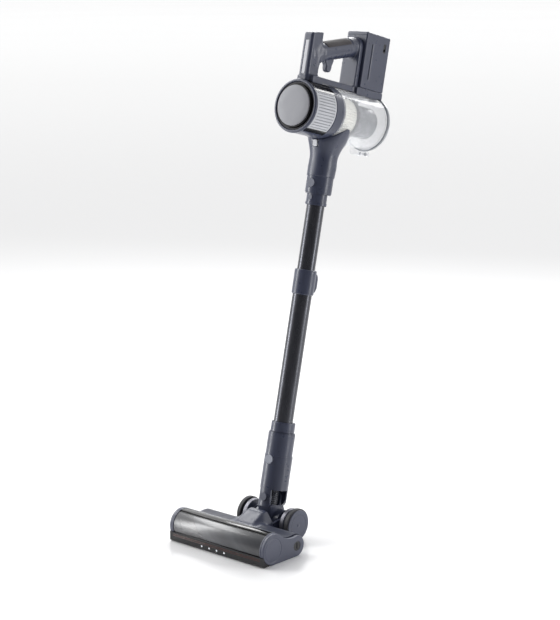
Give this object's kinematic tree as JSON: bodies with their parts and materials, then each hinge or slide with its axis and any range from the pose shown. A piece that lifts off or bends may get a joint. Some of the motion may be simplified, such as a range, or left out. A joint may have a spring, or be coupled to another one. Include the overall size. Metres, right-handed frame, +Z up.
{
  "type": "cordless stick vacuum",
  "caption": "Cordless stick vacuum: powered floor head on a pivoting neck, telescopic wand, and a handset with loop grip, motor, battery and clear cyclone cup.",
  "frame": {"origin": "middle of the object's footprint on the floor plane that the head and wheels stand on", "axes": "+Z up, +Y towards the user behind the object, +X to the right; the floor head faces -Y"},
  "size_m": [0.244, 0.486, 0.9685],
  "materials": {
    "shell": "satin",
    "shell_light": "satin",
    "black_plastic": "satin",
    "gloss_black": "gloss",
    "tube": "satin black",
    "silver": "satin silver paint",
    "silver_button": "silver paint",
    "clear": "clear polycarbonate",
    "smoke": "smoked clear",
    "cyclone": "translucent grey",
    "paper": "pleated filter",
    "grey": "satin",
    "pad": "soft touch",
    "rubber": "matt",
    "tyre": "matt",
    "steel": "plain",
    "copper": "motor can",
    "aluminium": "machined",
    "bristle": "nylon bristle",
    "led": "clear lens",
    "cell": "sleeved cell"
  },
  "bodies": {
    "head": {"head_base": "shell", "head_deck": "shell", "neck_ramp": "shell", "roller_window": "smoke", "front_bumper": "gloss_black", "led_lenses": "led", "end_cap_left": "shell_light", "end_cap_right": "shell_light", "brush_motor": "steel", "drive_belt": "rubber", "wheel_axles": "steel", "head_screws": "steel"},
    "dial": {"lock_dial": "black_plastic"},
    "brush": {"brush_core": "grey", "brush_bristles": "bristle"},
    "pulley": {"motor_pulley": "black_plastic"},
    "wheel_left": {"wheel_left": "shell_light", "tyre_left": "tyre"},
    "wheel_right": {"wheel_right": "shell_light", "tyre_right": "tyre"},
    "elbow": {"elbow": "black_plastic", "neck_hose": "rubber"},
    "neck": {"neck_sleeve": "shell", "swivel_pins": "shell_light"},
    "neck_button": {"neck_button": "shell_light"},
    "lower_wand": {"wand_foot": "shell", "outer_tube": "tube", "telescope_collar": "shell"},
    "telescope_button": {"telescope_button": "shell_light"},
    "upper_wand": {"inner_tube": "tube", "wand_head": "shell"},
    "handset": {"wand_collar": "shell", "neck_duct": "shell", "motor_casing": "shell", "front_bezel": "shell", "vent_grille": "silver", "motor_body": "copper", "handle_shell": "shell", "grip_pad": "pad", "display_window": "silver_button", "trigger_pin": "steel", "handset_screws": "steel"},
    "wand_button": {"wand_button": "shell_light"},
    "cup_button": {"cup_button": "silver_button"},
    "filter_ring": {"filter_seal": "rubber"},
    "filter_unit": {"filter_cover": "silver", "hepa_filter": "paper"},
    "rotor": {"fan_rotor": "aluminium"},
    "trigger": {"trigger": "shell_light"},
    "battery": {"battery_case": "shell", "battery_cells": "cell", "charge_socket": "black_plastic"},
    "battery_button": {"battery_button": "shell_light"},
    "cup": {"dust_cup": "clear", "pre_filter": "paper", "filter_flange": "grey", "cyclone_core": "cyclone", "lid_hinge_pin": "steel"},
    "lid": {"cup_lid": "clear"},
    "latch": {"lid_latch": "clear"}
  },
  "joints": [
    {"name": "dial_turn", "type": "hinge", "parent": "head", "child": "dial", "pos_m": [0.1199, -0.14831, 0.0202], "axis": [1, 0, 0], "range_deg": [0, 90]},
    {"name": "brush_spin", "type": "hinge", "parent": "head", "child": "brush", "pos_m": [0, -0.21191, 0.0262], "axis": [1, 0, 0], "continuous": true},
    {"name": "pulley_spin", "type": "hinge", "parent": "head", "child": "pulley", "pos_m": [0, -0.14831, 0.0202], "axis": [1, 0, 0], "continuous": true},
    {"name": "wheel_left_spin", "type": "hinge", "parent": "head", "child": "wheel_left", "pos_m": [0, -0.08181, 0.032], "axis": [1, 0, 0], "continuous": true},
    {"name": "wheel_right_spin", "type": "hinge", "parent": "head", "child": "wheel_right", "pos_m": [0, -0.08181, 0.032], "axis": [1, 0, 0], "continuous": true},
    {"name": "neck_pitch", "type": "hinge", "parent": "head", "child": "elbow", "pos_m": [0, -0.08181, 0.032], "axis": [-1, 0, 0], "range_deg": [0, 65]},
    {"name": "neck_swivel", "type": "hinge", "parent": "elbow", "child": "neck", "pos_m": [0, -0.08265, 0.07673], "axis": [0, 0.9748, -0.2233], "range_deg": [-45, 45], "deforming": ["neck_hose"]},
    {"name": "neck_button_press", "type": "slide", "parent": "neck", "child": "neck_button", "axis": [0, 0.9748, -0.2233], "range_m": [0, 0.0016], "stiffness_N_per_m": 1500},
    {"name": "wand_release", "type": "slide", "parent": "neck", "child": "lower_wand", "axis": [0, 0.2233, 0.9748], "range_m": [0, 0.085]},
    {"name": "telescope_button_press", "type": "slide", "parent": "lower_wand", "child": "telescope_button", "axis": [0, -0.9748, 0.2233], "range_m": [0, 0.0025], "stiffness_N_per_m": 1200},
    {"name": "telescope", "type": "slide", "parent": "lower_wand", "child": "upper_wand", "axis": [0, 0.2233, 0.9748], "range_m": [-0.12, 0.11]},
    {"name": "handset_release", "type": "slide", "parent": "upper_wand", "child": "handset", "axis": [0, 0.2233, 0.9748], "range_m": [0, 0.062]},
    {"name": "wand_button_press", "type": "slide", "parent": "handset", "child": "wand_button", "axis": [0, 0.9748, -0.2233], "range_m": [0, 0.0016], "stiffness_N_per_m": 1500},
    {"name": "cup_button_press", "type": "slide", "parent": "handset", "child": "cup_button", "axis": [0, 0.9999, 0.014], "range_m": [0, 0.0016], "stiffness_N_per_m": 1500},
    {"name": "filter_turn", "type": "hinge", "parent": "handset", "child": "filter_ring", "pos_m": [0, -0.01249, 0.831], "axis": [0, 0.9748, -0.2233], "range_deg": [0, 25]},
    {"name": "filter_pull", "type": "slide", "parent": "filter_ring", "child": "filter_unit", "axis": [0, -0.9748, 0.2233], "range_m": [0, 0.06]},
    {"name": "rotor_spin", "type": "hinge", "parent": "handset", "child": "rotor", "pos_m": [0, 0.046, 0.81761], "axis": [0, 0.9748, -0.2233], "continuous": true},
    {"name": "trigger_pull", "type": "hinge", "parent": "handset", "child": "trigger", "pos_m": [0, 0.07156, 0.92922], "axis": [1, 0, 0], "range_deg": [0, 9], "stiffness_Nm_per_rad": 0.6, "springref_deg": -6.88},
    {"name": "battery_slide", "type": "slide", "parent": "handset", "child": "battery", "axis": [0, 0.2233, 0.9748], "range_m": [0, 0.13]},
    {"name": "battery_button_press", "type": "slide", "parent": "battery", "child": "battery_button", "axis": [0, -0.9748, 0.2233], "range_m": [0, 0.0018], "stiffness_N_per_m": 1200},
    {"name": "cup_slide", "type": "slide", "parent": "handset", "child": "cup", "axis": [0, 0.9748, -0.2233], "range_m": [0, 0.15]},
    {"name": "lid_hinge", "type": "hinge", "parent": "cup", "child": "lid", "pos_m": [0, 0.18852, 0.72321], "axis": [-1, 0, 0], "range_deg": [0, 95]},
    {"name": "latch_press", "type": "hinge", "parent": "lid", "child": "latch", "pos_m": [0, 0.21727, 0.82455], "axis": [-1, 0, 0], "range_deg": [0, 8], "stiffness_Nm_per_rad": 0.3, "springref_deg": -5.73}
  ],
  "couplings": [
    {"joint": "pulley_spin", "follows": "brush_spin", "ratio": 1.5}
  ]
}
